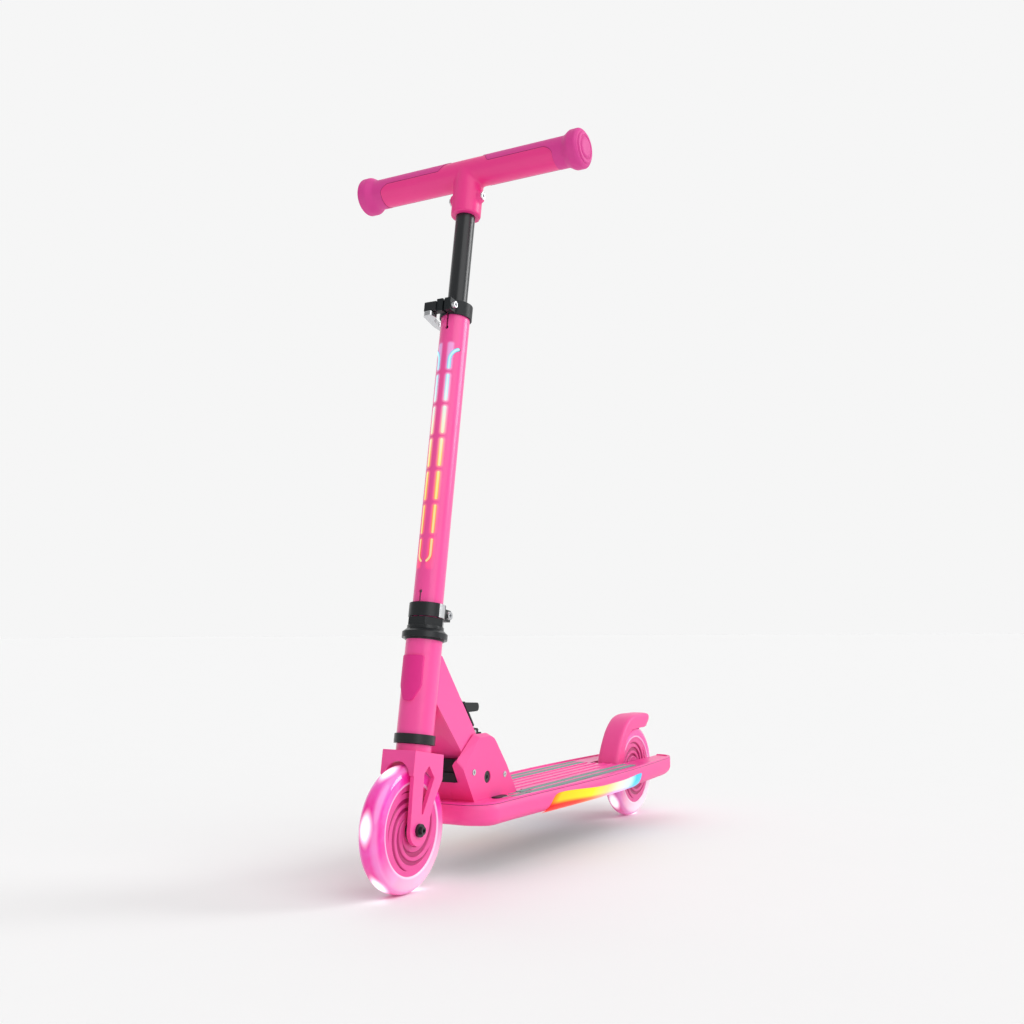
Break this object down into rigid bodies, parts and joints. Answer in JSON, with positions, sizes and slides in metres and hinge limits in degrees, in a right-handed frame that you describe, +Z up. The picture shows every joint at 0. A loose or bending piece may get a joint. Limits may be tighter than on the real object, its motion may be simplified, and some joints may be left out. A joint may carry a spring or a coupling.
{
  "type": "kick scooter",
  "caption": "Folding two-wheeled kick scooter for a child, with a telescoping T handlebar, light-up column, deck and wheels, and a foot brake over the rear wheel.",
  "frame": {"origin": "on the ground, midway between the two axles and in the middle plane", "axes": "+Z up; the front points to -Y and the tail to +Y; +X is the rider's left side"},
  "size_m": [0.298, 0.679, 0.8021],
  "materials": {
    "pink_paint": "gloss powder coat, hot pink",
    "pink_plastic": "moulded plastic, satin hot pink",
    "magenta_plastic": "moulded plastic, deeper pink",
    "grip_rubber": "soft matte rubber, magenta",
    "clear_pu": "translucent polyurethane, hot pink, lit from inside",
    "hub_plastic": "moulded plastic, pink",
    "black_metal": "black satin coat",
    "black_plastic": "black, fine grain",
    "steel": "zinc plated",
    "chrome": "polished",
    "light_lens": "frosted lens over coloured lights",
    "board": "circuit board",
    "cell": "shrink sleeve",
    "grip_tape": "coarse dark grey grip"
  },
  "bodies": {
    "deck": {"deck_frame": "steel", "hinge_bracket": "steel", "hinge_covers": "pink_plastic", "cover_screws": "steel", "fold_bolt": "black_metal", "stop_bumper": "black_plastic", "deck_board": "pink_plastic", "deck_grips": "grip_tape", "deck_skirt": "pink_plastic", "belly_pan": "black_plastic", "side_lights": "light_lens", "side_leds": "board", "battery_pack": "cell", "control_board": "board", "battery_door": "black_plastic", "rear_axle": "black_metal", "rear_spacers": "black_plastic", "fender_pin": "steel"},
    "button": {"light_button": "black_plastic"},
    "neck": {"down_tube": "pink_paint", "head_tube": "pink_paint", "head_badge": "magenta_plastic", "headset_cups": "black_metal", "headset_bearings": "steel", "hinge_block": "black_metal", "lever_pin": "steel"},
    "release": {"release_lever": "black_plastic"},
    "latch": {"latch_pin": "steel"},
    "column": {"fork": "pink_paint", "steerer": "steel", "crown_race": "black_metal", "headset_nuts": "black_metal", "lower_collar": "black_metal", "collar_bolt": "steel", "column_tube": "pink_paint", "column_lenses": "light_lens", "column_leds": "board", "top_bush": "black_plastic", "top_collar": "black_metal", "clamp_bolt": "black_metal", "front_axle": "black_metal", "front_spacers": "black_plastic"},
    "clamp": {"clamp_lever": "chrome"},
    "handlebar": {"stem_tube": "black_metal", "guide_ring": "black_plastic", "tee_bar": "magenta_plastic", "grips": "grip_rubber", "end_caps": "grip_rubber", "tee_bolt": "steel"},
    "front_wheel": {"front_tyre": "clear_pu", "front_hub": "hub_plastic", "front_bearings": "steel", "front_leds": "board"},
    "rear_wheel": {"rear_tyre": "clear_pu", "rear_hub": "hub_plastic", "rear_bearings": "steel", "rear_leds": "board"},
    "brake": {"rear_fender": "pink_plastic", "brake_pad": "steel", "brake_spring": "steel"}
  },
  "joints": [
    {"name": "fold", "type": "hinge", "parent": "deck", "child": "neck", "pos_m": [0, -0.155, 0.101], "axis": [-1, 0, 0], "range_deg": [0, 80]},
    {"name": "steer", "type": "hinge", "parent": "neck", "child": "column", "pos_m": [0, -0.2705, 0.06138], "axis": [0, 0.1702, 0.9854], "range_deg": [-75, 75]},
    {"name": "bar_slide", "type": "slide", "parent": "column", "child": "handlebar", "axis": [0, 0.1702, 0.9854], "range_m": [-0.07, 0.02]},
    {"name": "clamp_open", "type": "hinge", "parent": "column", "child": "clamp", "pos_m": [-0.017, -0.19771, 0.61202], "axis": [0, 0.1702, 0.9854], "range_deg": [0, 100]},
    {"name": "front_spin", "type": "hinge", "parent": "column", "child": "front_wheel", "pos_m": [0, -0.277, 0.0625], "axis": [1, 0, 0], "continuous": true},
    {"name": "rear_spin", "type": "hinge", "parent": "deck", "child": "rear_wheel", "pos_m": [0, 0.277, 0.0625], "axis": [1, 0, 0], "continuous": true},
    {"name": "brake_press", "type": "hinge", "parent": "deck", "child": "brake", "pos_m": [0, 0.207, 0.068], "axis": [-1, 0, 0], "range_deg": [0, 2.2], "stiffness_Nm_per_rad": 4, "springref_deg": -2.86},
    {"name": "lever_press", "type": "hinge", "parent": "neck", "child": "release", "pos_m": [0, -0.158, 0.148], "axis": [-1, 0, 0], "range_deg": [0, 12], "stiffness_Nm_per_rad": 0.6, "springref_deg": -8.59},
    {"name": "latch_slide", "type": "slide", "parent": "neck", "child": "latch", "axis": [0, 0.156, 0.9878], "range_m": [0, 0.006]},
    {"name": "button_press", "type": "slide", "parent": "deck", "child": "button", "axis": [0, 0, -1], "range_m": [0, 0.001], "stiffness_N_per_m": 400, "springref_m": -0.0005}
  ],
  "couplings": [
    {"joint": "latch_slide", "follows": "lever_press", "m_per_rad": 0.02626}
  ]
}
